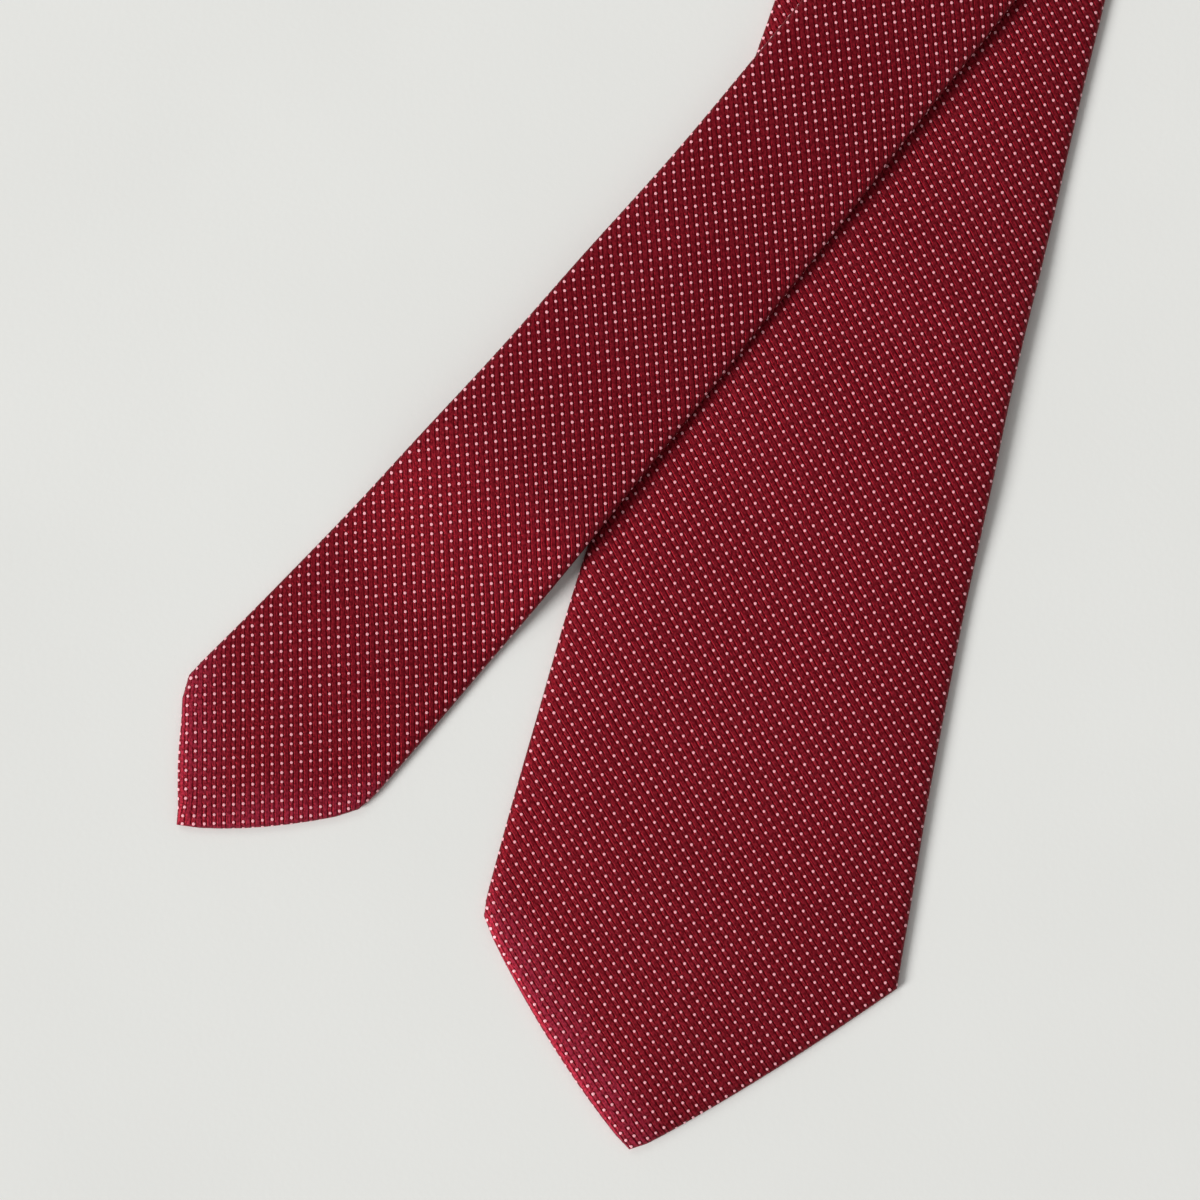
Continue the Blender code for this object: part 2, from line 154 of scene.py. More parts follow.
# Where a tip's corners are a little off: place (t, s), then the move to the right and ahead.
FRONT_PULLS = (
    (-41.8 * MM, 39.8 * MM, 0.46 * MM, 0.19 * MM),
    (-4.3 * MM, 0, 0, 0.45 * MM),
)
TAIL_PULLS = (
    (-21.6 * MM, 22.6 * MM, 0.2 * MM, 0.1 * MM),
    (-21.0 * MM, 18.0 * MM, -0.55 * MM, -0.55 * MM),
    (21.6 * MM, 26.4 * MM, -0.6 * MM, 0.3 * MM),
    (-2.0 * MM, 0, -0.75 * MM, -0.45 * MM),
)

# The woven pattern: angles from the band's own heading, distances between pin dots, and how
# much painted shade darkens the silk next to the front blade's, as its threads lie otherwise to the
# light.
FRONT_WEAVE = {"column": -44.5, "row": 45.5, "along": 1.92 * MM, "across": 1.97 * MM, "shade": 0.0}
NECK_WEAVE = {"column": -44.0, "row": 45.0, "along": 1.92 * MM, "across": 1.95 * MM, "shade": 0.05}
TAIL_WEAVE = {"column": -43.5, "row": 42.0, "along": 1.86 * MM, "across": 1.92 * MM, "shade": 0.21}
WEAVES = {"front": FRONT_WEAVE, "neck": NECK_WEAVE, "tail": TAIL_WEAVE}
DOT_ORIGIN = (0.137, 0.211)
DOT_RADIUS = 0.335 * MM
DOT_HEIGHT = 0.1 * MM
DOT_SINK = 0.03 * MM
DOT_SIDES = 8
DOT_SIZES = (0.93, 1.07)
DOT_SKEW = 0.25
DOT_LEAN = radians(145)
DOT_TAIL = 0.75
DOT_SQUEEZE = 0.14

# Stitches.
THIN_THREAD = 0.12 * MM
THICK_THREAD = 0.16 * MM
THREAD_SIDES = 6
SEAM_STITCH = 3.5 * MM
SEAM_END = 3 * MM
SEAM_SWING = 0.6 * MM
SEAM_SLANT = 0.8 * MM
SEAM_HEIGHT = 0.13 * MM
HEM_STITCH = 3 * MM
HEM_STITCH_END = 1.5 * MM
HEM_ACROSS = np.array([-0.9, -0.3, 0.3, 0.9]) * MM
HEM_AHEAD = np.array([-0.9, -0.5, 0.7, 1.2]) * MM
HEM_HEIGHT = np.array([0.3, 0.08, 0.3, 0.72]) * MM
FRONT_BAR = (FRONT_TACK - 9 * MM, 6.6 * MM)
TAIL_BAR = (TAIL_TACK - 10 * MM, 5.2 * MM)
BAR_STITCH = 0.28 * MM
BAR_SWING = 0.6 * MM
BAR_LINES = np.array([-0.35, 0, 0.35]) * MM
BAR_OVERHANG = 1.15
BAR_TOP = 0.1 * MM
BAR_BOTTOM = 0.28 * MM
# A keeper tack goes between two rows: past the loop's end, and above the blade's back.
KEEPER_TACK_STITCHES = 30
KEEPER_TACK_HALF = 3 * MM
KEEPER_OUTER = np.array([1.0, -0.05]) * MM
KEEPER_INNER = np.array([-1.3, -0.72]) * MM
PIECING_STITCHES = 32
PIECING_REACH = 0.8
PIECING_SWING = 0.4 * MM
PIECING_CLEARANCE = 1.6 * MM

# Colours of the silk: between its threads, on them, in a painted sheen, in painted groove shade, on a
# streak, and in darker random patches and painted shade.
SILK_DARK = (0.016, 0.0001, 0.0004, 1)
SILK_LIGHT = (0.25, 0.016, 0.027, 1)
SILK_PAINTED_SHEEN = (0.62, 0.06, 0.13, 1)
SILK_GROOVE_SHADE = (0.008, 0.0001, 0.0002, 1)
SILK_STREAK = (0.5, 0.08, 0.11, 1)
SILK_TONE_AND_PAINTED_SHADE = (0.04, 0.0006, 0.002, 1)
PIN_PINK = (1.0, 0.44, 0.5, 1)

# How strong the painted sheen is along these sides of each tip: a painted highlight where the tip's
# edges face the light.
PAINTED_SHEEN_SHARE = 0.5
FRONT_SHEEN_SIDES = (("left", -1),)
TAIL_SHEEN_SIDES = (("left", -1), ("right", 1))

CAMERA_PLACE = (-0.1177, -0.2135, 0.6)
CAMERA_LENS = 90
LIT_PLACE = (-0.1, -0.2, 0)
WINDOW_PLACE = (-5.2, -2.5, 3.4)
WINDOW_STRENGTH = 3.05
WINDOW_SPREAD = radians(24)
FILL_PLACE = (-0.9, 1.0, 1.3)
FILL_POWER = 4
FILL_SIZE = 0.8
ROOM_STRENGTH = 0.285
ROOM_COLOUR = (1, 0.99, 0.98, 1)
FLOOR_REACH = 6.0

FOLDS = {joint["name"]: joint for joint in frame["joints"]}
FIRST = np.array(FOLDS["front_fold"]["pos_m"])
SECOND = np.array(FOLDS["tail_fold"]["pos_m"])


def ramp(value, low, high):
    """0 up to low, 1 from high, and a smooth S between them."""
    share = np.clip((value - low) / (high - low), 0, 1)
    return share * share * (3 - 2 * share)


def smooth_most(a, b, blend):
    """The larger of two lengths, rounded over where they meet."""
    return (a + b + np.sqrt((a - b) ** 2 + blend**2)) / 2


def direction(heading):
    """The level direction of a heading in degrees."""
    turn = np.radians(heading)
    return np.stack([np.sin(turn), np.cos(turn)], -1)


def waves(x, y, size, phase):
    """Slow uneven swells from -1 to 1, about one every size metres."""
    first = np.sin(2 * pi * (x + 0.41 * y) / size + phase)
    second = np.sin(2 * pi * (0.73 * y - 0.52 * x) / (1.37 * size) + 2.1 * phase)
    third = np.sin(2 * pi * (0.9 * x - 0.8 * y) / (0.61 * size) + 0.7 * phase)
    return (first + second + 0.7 * third) / 2.7


def heading_on(course, s):
    """The heading at s on a course."""
    far, extra, reach = course
    return far + extra * np.maximum(1 - s / reach, 0) ** 2


def trace(length, course):
    """Centre line points, one STEP apart."""
    middles = (np.arange(round(length / STEP)) + 0.5) * STEP
    steps = STEP * direction(heading_on(course, middles))
    return np.vstack([np.zeros(2), np.cumsum(steps, axis=0)])


def roll_section():
    """(inset, height, distance round) down the rolled edge, from the face to the back."""
    turn = np.radians(np.linspace(90, -90, ROLL_STEPS + 1))
    power = 2 / SQUARENESS
    inset = REACH * (1 - np.abs(np.cos(turn)) ** power)
    height = THICKNESS / 2 * (1 + np.sign(np.sin(turn)) * np.abs(np.sin(turn)) ** power)
    steps = np.hypot(np.diff(inset), np.diff(height))
    return inset, height, np.concatenate([[0], np.cumsum(steps)])


ROLL_INSET, ROLL_HEIGHT, ROLL_ARC = roll_section()


class Band:
    """One length of the tie. s runs from its tip, or from the first fold, to its last fold."""

    tip, hem, tack, pulls = None, 0, 0, ()
    start_fold, end_fold = None, None

    def __init__(self, points, course, cut, slopes, face_up, phase):
        self.points = points
        self.length = (len(points) - 1) * STEP
        self.course = course
        self.cut = cut
        self.slopes = slopes
        self.face_up = face_up
        self.phase = phase

    def heading_at(self, s):
        return heading_on(self.course, s)

    def width_at(self, s):
        width, taper, blend = self.cut
        return smooth_most(width - taper * s, NECK_WIDTH, blend)

    def rise_at(self, s):
        """Height of the band's back over the table."""
        start, *slopes = self.slopes
        return start + sum(height * ramp(s, low, high) for height, low, high in slopes)

    def centre(self, s):
        """The centre line, carried on straight past both ends."""
        index = np.clip((s / STEP).astype(int), 0, len(self.points) - 2)
        low, high = self.points[index], self.points[index + 1]
        return low + (high - low) * (s / STEP - index)[..., None]

    def slope_of(self, fold):
        """How far a fold line runs along the band for each metre across it."""
        turn = (fold - self.heading_at(self.length) + 90) % 180 - 90
        return 1 / tan(radians(turn))

    def tip_depth(self, t):
        """Distance along the band from the tip to the outline at t, with slightly full sides."""
        offset = self.tip["offset"]
        left = t < offset
        depth = np.where(left, self.tip["left"], self.tip["right"])
        reach = self.tip["half"] + np.where(left, offset, -offset)
        share = np.abs(t - offset) / reach
        return depth * share - MITRE * TIP_BULGE * 4 * share * np.maximum(1 - share, 0)

    def along(self, t, row, inset, clearance):
        """s at t on a row: rows follow the tip's outline at one end and the fold lines at the others."""
        s = row + 0 * t
        if self.tip:
            s = s + np.maximum(1 - row / TIP_FADE, 0) * (self.tip_depth(t) + MITRE * inset)
        ends = ((self.start_fold, row, 1), (self.end_fold, self.length - row, -1))
        for fold, from_end, way in ends:
            if fold is not None:
                slope = self.slope_of(fold)
                gap = way * clearance * sqrt(1 + slope**2)
                s = s + np.maximum(1 - from_end / FOLD_FADE, 0) * (t * slope + gap)
        return s

    def flat(self, u, row, inset, clearance=FOLD_CLEARANCE):
        """(t, s) at share u of the half width, on a row, inset from the outline."""
        s = row + 0 * u
        for _ in range(4):
            t = u * (self.width_at(s) / 2 - inset)
            s = self.along(t, row, inset, clearance)
        return np.stack([t, s], -1)

    def from_outline(self, t, s):
        """Distance in from the nearest edge or side of the tip."""
        side = np.maximum(self.width_at(s) / 2 - np.abs(t), 0)
        if not self.tip:
            return side
        tip = np.maximum(s - self.tip_depth(t), 0) / MITRE
        return side + tip - np.sqrt(side**2 + tip**2)

    def shift(self, t, s):
        """(right, ahead): how far a place moves for the edge waves and the pulled corners."""
        side = np.clip(t / (self.width_at(s) / 2), -1, 1)
        right = EDGE_WAVE * waves(s, 0.05 * side, EDGE_WAVE_LENGTH, self.phase) * side
        if self.tip:
            right = right * ramp(s, *EDGE_WAVE_START)
        ahead = 0 * s
        for corner_t, corner_s, move_right, move_ahead in self.pulls:
            from_corner = (t - corner_t) ** 2 + (s - corner_s) ** 2
            near = np.exp(-from_corner / (2 * CORNER_SIZE**2))
            right = right + move_right * near
            ahead = ahead + move_ahead * near
        return right, ahead

    def dip(self, t, s, plan):
        """How far the face lies below a flat one: a little uneven, and crowned at its edges."""
        swell = waves(plan[..., 0], plan[..., 1], FACE_SWELL_LENGTH, self.phase)
        from_outline = self.from_outline(t, s)
        crown = CROWN * np.exp(-((from_outline / CROWN_REACH) ** 2))
        if self.tip:
            tip_crown = TIP_CROWN * np.exp(-((from_outline / TIP_CROWN_REACH) ** 2))
            crown = crown + (tip_crown - 0.5 * crown) * (1 - ramp(s, *TIP_CROWN_FADE))
        return FACE_DIP * (0.5 - 0.5 * swell) + crown

    def place(self, flat, height, row):
        """Points in the row frame at (t, s), at a height above the band's back."""
        t, s = flat[..., 0], flat[..., 1]
        right, ahead = self.shift(t, s)
        heading = self.heading_at(s)
        plan = self.centre(s) + direction(heading + 90) * (t + right)[..., None]
        plan = plan + direction(heading) * ahead[..., None]
        dip = self.dip(t, s, plan) * height / THICKNESS
        stack = height - dip if self.face_up else THICKNESS - height + dip
        return np.concatenate([plan, (self.rise_at(row) + stack)[..., None]], -1)

    def point(self, u, row, inset, height, clearance=FOLD_CLEARANCE):
        flat = self.flat(u, row, inset, clearance)
        return self.place(flat, height + 0 * flat[..., 0], row + 0 * flat[..., 0])


def make_bands():
    """The three lengths of the tie, placed by their two folds."""
    front_points, tail_points = trace(FRONT_LENGTH, FRONT_COURSE), trace(TAIL_LENGTH, TAIL_COURSE)
    front_points = front_points - front_points[-1] + FIRST[:2]
    tail_points = tail_points - tail_points[-1] + SECOND[:2]
    reach = SECOND[:2] - FIRST[:2]
    heading = float(np.degrees(np.arctan2(reach[0], reach[1])))
    count = round(np.hypot(*reach) / STEP)
    neck_points = FIRST[:2] + reach * np.linspace(0, 1, count + 1)[:, None]
    front = Band(front_points, FRONT_COURSE, FRONT_CUT, FRONT_SLOPES, True, 0.6)
    neck = Band(neck_points, (heading, 0, 1), NECK_CUT, NECK_SLOPES, False, 1.7)
    tail = Band(tail_points, TAIL_COURSE, TAIL_CUT, TAIL_SLOPES, True, 3.9)
    front.tip, front.hem, front.tack, front.pulls = FRONT_TIP, FRONT_HEM, FRONT_TACK, FRONT_PULLS
    tail.tip, tail.hem, tail.tack, tail.pulls = TAIL_TIP, TAIL_HEM, TAIL_TACK, TAIL_PULLS
    front.end_fold = neck.start_fold = (front.heading_at(FRONT_LENGTH) + heading) / 2
    tail.end_fold = neck.end_fold = (tail.heading_at(TAIL_LENGTH) + 180 + heading) / 2
    return front, neck, tail


# Meshes: a patch is (points, cloth, quads), where cloth is each point's place in the flat cloth.


def unit(arrows):
    return arrows / np.linalg.norm(arrows, axis=1, keepdims=True)


def patch(points, cloth):
    """A patch from grids of points and flat cloth places, wound with columns then rows."""
    rows, columns = points.shape[:2]
    index = np.arange(rows * columns).reshape(rows, columns)
    corners = [index[:-1, :-1], index[:-1, 1:], index[1:, 1:], index[1:, :-1]]
    quads = np.stack(corners, -1).reshape(-1, 4)
    return points.reshape(-1, 3), cloth.reshape(-1, 2), quads


def joined(patches):
    """(points, cloth of each face corner, quads) of several patches, with shared points merged."""
    points, cloth, quads, start = [], [], [], 0
    for some_points, some_cloth, some_quads in patches:
        points.append(some_points)
        cloth.append(some_cloth)
        quads.append(some_quads + start)
        start += len(some_points)
    points, cloth, quads = np.vstack(points), np.vstack(cloth), np.vstack(quads)
    keys = np.round(points / (0.001 * MM)).astype(np.int64)
    _, first, places = np.unique(keys, axis=0, return_index=True, return_inverse=True)
    return points[first], cloth[quads], places.reshape(-1)[quads]


def mesh_object(name, points, faces, corner_cloth=None):
    """A smooth mesh object from an array of equal-sided faces, with its cloth places as UVs."""
    mesh = bpy.data.meshes.new(name)
    sides = faces.shape[1]
    mesh.vertices.add(len(points))
    mesh.vertices.foreach_set("co", points.astype(np.float32).ravel())
    mesh.loops.add(faces.size)
    mesh.loops.foreach_set("vertex_index", faces.astype(np.int32).ravel())
    mesh.polygons.add(len(faces))
    mesh.polygons.foreach_set("loop_start", np.arange(0, faces.size, sides, dtype=np.int32))
    if corner_cloth is not None:
        layer = mesh.uv_layers.new(name="cloth")
        layer.data.foreach_set("uv", corner_cloth.astype(np.float32).ravel())
    mesh.update(calc_edges=True)
    mesh.shade_smooth()
    mark_rims(mesh)
    obj = bpy.data.objects.new(name, mesh)
    bpy.context.scene.collection.objects.link(obj)
    return obj


def mark_rims(mesh):
    """Keeps open edges crisp once the sheet has its thickness."""
    edges = np.zeros(len(mesh.loops), np.int32)
    mesh.loops.foreach_get("edge_index", edges)
    rims = np.bincount(edges, minlength=len(mesh.edges)) == 1
    sharp = mesh.attributes.new("sharp_edge", "BOOLEAN", "EDGE")
    sharp.data.foreach_set("value", rims)


def cloth_object(name, patches, flip):
    """(object, points, cloth of each face corner, quads) from patches, turned over if flip."""
    points, corner_cloth, quads = joined(patches)
    if flip:
        quads, corner_cloth = quads[:, ::-1], corner_cloth[:, ::-1]
    return mesh_object(name, points, quads, corner_cloth), points, corner_cloth, quads


def thicken(obj, thickness):
    """Gives a sheet its thickness, inward from its outer side."""
    solid = obj.modifiers.new("Cloth thickness", "SOLIDIFY")
    solid.thickness = thickness
    solid.offset = -1


def finish_piece(obj, body, slot, material, *nodes):
    """Gives a piece its material and body, and hides the CAD nodes that it stands for; slot is not used.
    """
    obj.data.materials.append(material)
    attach(obj, body)
    if nodes:
        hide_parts(*nodes)
    return obj


def band_rows(band, spacing=SPACING):
    """Rows along a band, closer together at the tip."""
    start = TIP_ROWS_END if band.tip else 0
    count = round((band.length - start) / spacing)
    even = np.linspace(start, band.length, count + 1)
    if not band.tip:
        return even
    close = np.linspace(0, start, round(start / TIP_SPACING) + 1)
    return np.concatenate([close[:-1], even])


def band_shares(band, spacing=SPACING):
    """Shares across a band, with one at the tip's point."""
    if not band.tip:
        return np.linspace(-1, 1, round(NECK_WIDTH / spacing) + 1)
    point = band.tip["offset"] / band.tip["half"]
    half = band.tip["half"] / spacing
    left = np.linspace(-1, point, round((1 + point) * half) + 1)
    right = np.linspace(point, 1, round((1 - point) * half) + 1)
    return np.concatenate([left, right[1:]])


def inner_edge(band, row):
    """Distance from the centre line to a back flap's inner edge."""
    seam = SEAM_HALF_GAP + 0 * row
    if not band.tip:
        return seam
    corner = band.tip["half"] - REACH - FLAP_AT_CORNER
    share = np.clip((band.tack - row) / (band.tack - band.hem), 0, 1)
    return seam + (corner - seam) * share


def side_belt(band, side, rows):
    """Stations along one long edge: (share, row, the flap's inner share, its inner row)."""
    half = band.flat(side + 0 * rows, rows, REACH)[:, 0] * side
    inner = inner_edge(band, rows)
    if band.tip:
        mitred = half - FLAP_AT_CORNER * rows / band.hem
        inner = np.where(rows < band.hem, np.minimum(mitred, half - FLAP_LEAST), inner)
    share = side + 0 * rows
    return np.stack([share, rows, side * inner / half, rows], -1)


def tip_belt(band, shares):
    """Stations along the tip, whose hem is mitred at both corners."""
    from_corner = (1 - np.abs(shares)) * (band.tip["half"] - REACH)
    turned = band.hem * np.clip(from_corner / FLAP_AT_CORNER, HEM_LEAST_SHARE, 1)
    return np.stack([shares, 0 * shares, shares, turned], -1)


def tip_outward(band, side):
    """The direction out of one side of the tip, in the flat cloth."""
    depth = band.tip["left"] if side < 0 else band.tip["right"]
    reach = band.tip["half"] - side * band.tip["offset"]
    return np.array([side * depth, -reach]) / np.hypot(depth, reach)


def belt(band, stations, outward, clearance=FOLD_CLEARANCE):
    """(points, flat cloth) of the rolled edge and the flap turned to the back.

    The flap's flat cloth is its place on the back, mirrored out over the edge."""
    share, row, inner_share, inner_row = stations.T[:, :, None]
    steps = np.linspace(0, 1, FLAP_STEPS + 1)[None, 1:]
    turned_share = share + (inner_share - share) * steps
    turned_row = row + (inner_row - row) * steps
    rolled = band.point(share, row, ROLL_INSET[None], ROLL_HEIGHT[None], clearance)
    turned = band.point(turned_share, turned_row, REACH, SEAM_LIFT * steps**2, clearance)
    edge = band.flat(share, row, REACH)
    plan = band.flat(share, row, ROLL_INSET[None]) - edge
    sideways = plan - (plan @ outward)[..., None] * outward
    rolled_cloth = edge + sideways + outward * ROLL_ARC[None, :, None]
    moved = band.flat(turned_share, turned_row, REACH) - edge
    moved = moved - 2 * (moved @ outward)[..., None] * outward
    turned_cloth = edge + outward * ROLL_ARC[-1] + moved
    return np.concatenate([rolled, turned], 1), np.concatenate([rolled_cloth, turned_cloth], 1)


def shell_patches(band):
    """The face, then the belts round it: two long edges, and the two sides of a tip."""
    shares, rows = band_shares(band), band_rows(band)
    face = patch(
        band.point(shares[None], rows[:, None], REACH, THICKNESS),
        band.flat(shares[None], rows[:, None], REACH),
    )
    left, right = np.array([-1.0, 0]), np.array([1.0, 0])
    runs = [(side_belt(band, -1, rows)[::-1], left), (side_belt(band, 1, rows), right)]
    if band.tip:
        point = band.tip["offset"] / band.tip["half"] + 1e-9
        runs[0] = (np.vstack([runs[0][0][:-1], tip_belt(band, shares[:1])]), left)
        runs[1] = (np.vstack([tip_belt(band, shares[-1:]), runs[1][0][1:]]), right)
        runs.append((tip_belt(band, shares[shares <= point]), tip_outward(band, -1)))
        runs.append((tip_belt(band, shares[shares >= point - 2e-9]), tip_outward(band, 1)))
    return [face] + [patch(*belt(band, stations, outward)) for stations, outward in runs]


def fold_section(band, row):
    """(points, flat cloth places) round the band's end, from flap edge to flap edge."""
    shares = np.linspace(-1, 1, FOLD_COLUMNS + 1)[1:-1]
    ends = []
    for side in (-1, 1):
        stations = side_belt(band, side, np.array([row]))
        points, cloth = belt(band, stations, np.array([side, 0.0]), 0)
        ends.append((points[0], cloth[0]))
    (left, left_cloth), (right, right_cloth) = ends
    face = band.point(shares, row + 0 * shares, REACH, THICKNESS, 0)
    face_cloth = band.flat(shares, row + 0 * shares, REACH)
    return np.vstack([left[::-1], face, right]), np.vstack([left_cloth[::-1], face_cloth, right_cloth])


def cloth_outward(band, row):
    """The direction across a fold, away from the band, in the band's flat cloth."""
    at_end = row > band.length / 2
    fold = band.end_fold if at_end else band.start_fold
    turn = radians(fold - float(band.heading_at(np.array(row))))
    out = np.array([-cos(turn), sin(turn)])
    return out if (out[1] > 0) == at_end else -out


def level_outward(band, row, origin, axis):
    """The level direction across a fold's axis, away from the band that ends there."""
    outward = np.array([-axis[1], axis[0], 0])
    inside = band.centre(np.array([row - FOLD_PROBE]))[0] - origin[:2]
    return -outward if inside @ outward[:2] > 0 else outward


def fold_patch(lower, lower_row, upper, upper_row, joint):
    """The cloth that turns round a fold, from the lower band's end to the upper band's."""
    origin, axis = np.array(FOLDS[joint]["pos_m"]), np.array(FOLDS[joint]["axis"])
    low, low_cloth = fold_section(lower, lower_row)
    high, _ = fold_section(upper, upper_row)
    low_along, high_along = (low - origin) @ axis, (high - origin) @ axis
    if (low_along[-1] - low_along[0]) * (high_along[-1] - high_along[0]) < 0:
        high, high_along = high[::-1], high_along[::-1]
    outward = level_outward(lower, lower_row, origin, axis)
    flat_out = cloth_outward(lower, lower_row)
    low_radius, high_radius = origin[2] - low[:, 2], high[:, 2] - origin[2]
    turns = np.linspace(0, pi, FOLD_STEPS + 1)
    stages = [(0, -FOLD_CLEARANCE, 0)] + [(turn, 0, FOLD_CLEARANCE) for turn in turns]
    stages.append((pi, -FOLD_CLEARANCE, FOLD_CLEARANCE))
    points, cloth = [], []
    for turn, back, start in stages:
        share = turn / pi
        radius = low_radius + (high_radius - low_radius) * share
        along = low_along + (high_along - low_along) * share
        place = origin + axis * along[:, None] + outward * (radius * sin(turn) + back)[:, None]
        place[:, 2] = origin[2] - radius * cos(turn)
        points.append(place)
        cloth.append(low_cloth + flat_out * (low_radius * turn + start)[:, None])
    made, made_cloth, quads = patch(np.array(points), np.array(cloth))
    if outward_flow(made, quads, origin, axis) < 0:
        quads = quads[:, ::-1]
    return made, made_cloth, quads


def outward_flow(points, quads, origin, axis):
    """Above 0 if more of the faces look away from the fold's axis than towards it."""
    corners = points[quads]
    normal = np.cross(corners[:, 2] - corners[:, 0], corners[:, 3] - corners[:, 1])
    arm = corners.mean(1) - origin
    arm = arm - (arm @ axis)[:, None] * axis
    return float((normal * arm).sum())


# Pin dots: small raised domes at each crossing of the weave.


def weave_axes(weave):
    """Columns of the two steps of the pattern in flat cloth: along a column, and to the next."""
    column, row = direction(weave["column"]), direction(weave["row"])
    spread = sin(radians(weave["row"] - weave["column"]))
    return np.stack([column * weave["along"], row * weave["across"] / spread], -1)


def area_between(first, second):
    """Twice the signed area between flat arrows."""
    return first[:, 0] * second[:, 1] - second[:, 0] * first[:, 1]


def whole_places(grid):
    """(triangle, shares of its three corners) at each whole place inside some flat triangles."""
    start, second_edge, third_edge = grid[:, 0], grid[:, 1] - grid[:, 0], grid[:, 2] - grid[:, 0]
    low = np.ceil(grid.min(1)).astype(int)
    span = int((np.floor(grid.max(1)) - low).max()) + 1
    whole = area_between(second_edge, third_edge)
    real = np.abs(whole) > 1e-9
    whole = np.where(real, whole, 1)
    triangles, shares = [], []
    for i in range(span):
        for j in range(span):
            spot = low + np.array([i, j]) - start
            second = area_between(spot, third_edge) / whole
            third = area_between(second_edge, spot) / whole
            inside = real & (second >= 0) & (third >= 0) & (second + third < 1)
            triangles.append(np.flatnonzero(inside))
            shares.append(np.stack([1 - second - third, second, third], -1)[inside])
    return np.concatenate(triangles), np.concatenate(shares)


def edges_of(corners):
    """Columns of the two edges from each triangle's first corner."""
    return np.stack([corners[:, 1] - corners[:, 0], corners[:, 2] - corners[:, 0]], -1)


def dot_places(points, normals, corner_cloth, quads, weave):
    """(place, normal, direction along the column) of each pin dot on a surface."""
    triangles = np.concatenate([quads[:, [0, 1, 2]], quads[:, [0, 2, 3]]])
    cloth = np.concatenate([corner_cloth[:, [0, 1, 2]], corner_cloth[:, [0, 2, 3]]])
    grid = cloth @ np.linalg.inv(weave_axes(weave)).T + np.array(DOT_ORIGIN)
    hits, shares = whole_places(grid)
    corners = points[triangles[hits]]
    place = (corners * shares[:, :, None]).sum(1)
    normal = unit((normals[triangles[hits]] * shares[:, :, None]).sum(1))
    along = np.linalg.inv(edges_of(cloth[hits])) @ direction(weave["column"])
    column = (edges_of(corners) @ along[..., None])[..., 0]
    column = unit(column - normal * (column * normal).sum(1, keepdims=True))
    return place, normal, column


def make_dots(name, places, seed):
    """One mesh of small domes, each drawn out to a short tail down its column."""
    place, normal, column = places
    count = len(place)
    random = np.random.default_rng(seed)
    size = DOT_RADIUS * random.uniform(*DOT_SIZES, (count, 1))
    skew = random.uniform(-DOT_SKEW, DOT_SKEW, (count, 1))
    turn = np.linspace(0, 2 * pi, DOT_SIDES, endpoint=False)[None] + skew
    across = np.cross(normal, column)
    stretch = 1.0 + DOT_TAIL * np.maximum(np.cos(turn - DOT_LEAN), 0) ** 4
    stretch = stretch * (1.0 - DOT_SQUEEZE * np.cos(2 * (turn - DOT_LEAN)))
    down, sideways = size * stretch * np.cos(turn), size * stretch * np.sin(turn)
    rim = place[:, None] + column[:, None] * down[..., None] + across[:, None] * sideways[..., None]
    rim = rim - normal[:, None] * DOT_SINK
    top = place + normal * DOT_HEIGHT
    points = np.concatenate([rim.reshape(-1, 3), top])
    start = np.arange(count)[:, None] * DOT_SIDES
    side = np.arange(DOT_SIDES)[None]
    peak = count * DOT_SIDES + np.arange(count)[:, None] + 0 * side
    faces = np.stack([start + side, start + (side + 1) % DOT_SIDES, peak], -1).reshape(-1, 3)
    return mesh_object(name, points, faces)


def normals_of(obj):
    """Each point's normal, as an array."""
    values = np.zeros(len(obj.data.vertices) * 3, np.float32)
    obj.data.vertices.foreach_get("normal", values)
    return values.reshape(-1, 3).astype(float)


def make_cloth(name, patches, flip, weave, seed):
    """A silk surface and its pin dots, as (cloth, dots, cloth places of its corners)."""
    obj, points, corner_cloth, quads = cloth_object(name, patches, flip)
    places = dot_places(points, normals_of(obj), corner_cloth, quads, weave)
    dots = make_dots(name.replace("silk", "dots"), places, seed)
    thicken(obj, CLOTH)
    return obj, dots, corner_cloth


# Threads


def tube(points, radius):
    """A round thread through the points, with its turn and length as cloth places."""
    ahead = unit(np.gradient(points, axis=0))
    side = unit(np.cross(ahead, np.array([0.05, 0.03, 1.0])))
    over = np.cross(side, ahead)
    turn = np.linspace(0, 2 * pi, THREAD_SIDES + 1)[None, :, None]
    size = np.full(len(points), radius)
    size[[0, -1]] = 0.15 * radius
    rim = side[:, None] * np.cos(turn) + over[:, None] * np.sin(turn)
    rings = points[:, None] + size[:, None, None] * rim
    run = np.concatenate([[0], np.cumsum(np.linalg.norm(np.diff(points, axis=0), axis=1))])
    cloth = np.stack(np.broadcast_arrays(radius * turn[..., 0], run[:, None]), -1)
    return patch(rings, cloth)


def make_thread(name, runs, radius):
    """One thread object from several runs of stitches."""
    return cloth_object(name, [tube(smoothed(run), radius) for run in runs], True)[0]


def smoothed(knots, pieces=4):
    """More points through the knots, rounded at each knot."""
    knots = np.asarray(knots)
    padded = np.vstack([knots[0], knots, knots[-1]])
    share = (np.arange(pieces) / pieces)[:, None, None]
    a, b, c, d = padded[:-3], padded[1:-2], padded[2:-1], padded[3:]
    bend = 2 * b + (c - a) * share + (2 * a - 5 * b + 4 * c - d) * share**2
    curve = (bend + (3 * b - a - 3 * c + d) * share**3) / 2
    return np.vstack([curve.transpose(1, 0, 2).reshape(-1, 3), knots[-1]])


def zigzag(count):
    """-1 and 1 in turn, at both ends of each of some stitches."""
    return np.where(np.arange(count + 1) % 2 == 0, -1.0, 1.0)


def slip_stitch(band, start):
    """The seam's thread, dipping from one flap to the other and back."""
    end = band.length - SEAM_END
    count = int((end - start) / SEAM_STITCH)
    rows = np.linspace(start, end, count + 1)
    side = zigzag(count)
    flat = np.stack([SEAM_SWING * side, rows + SEAM_SLANT * side], -1)
    return [band.place(flat, SEAM_HEIGHT + 0 * rows, rows)]


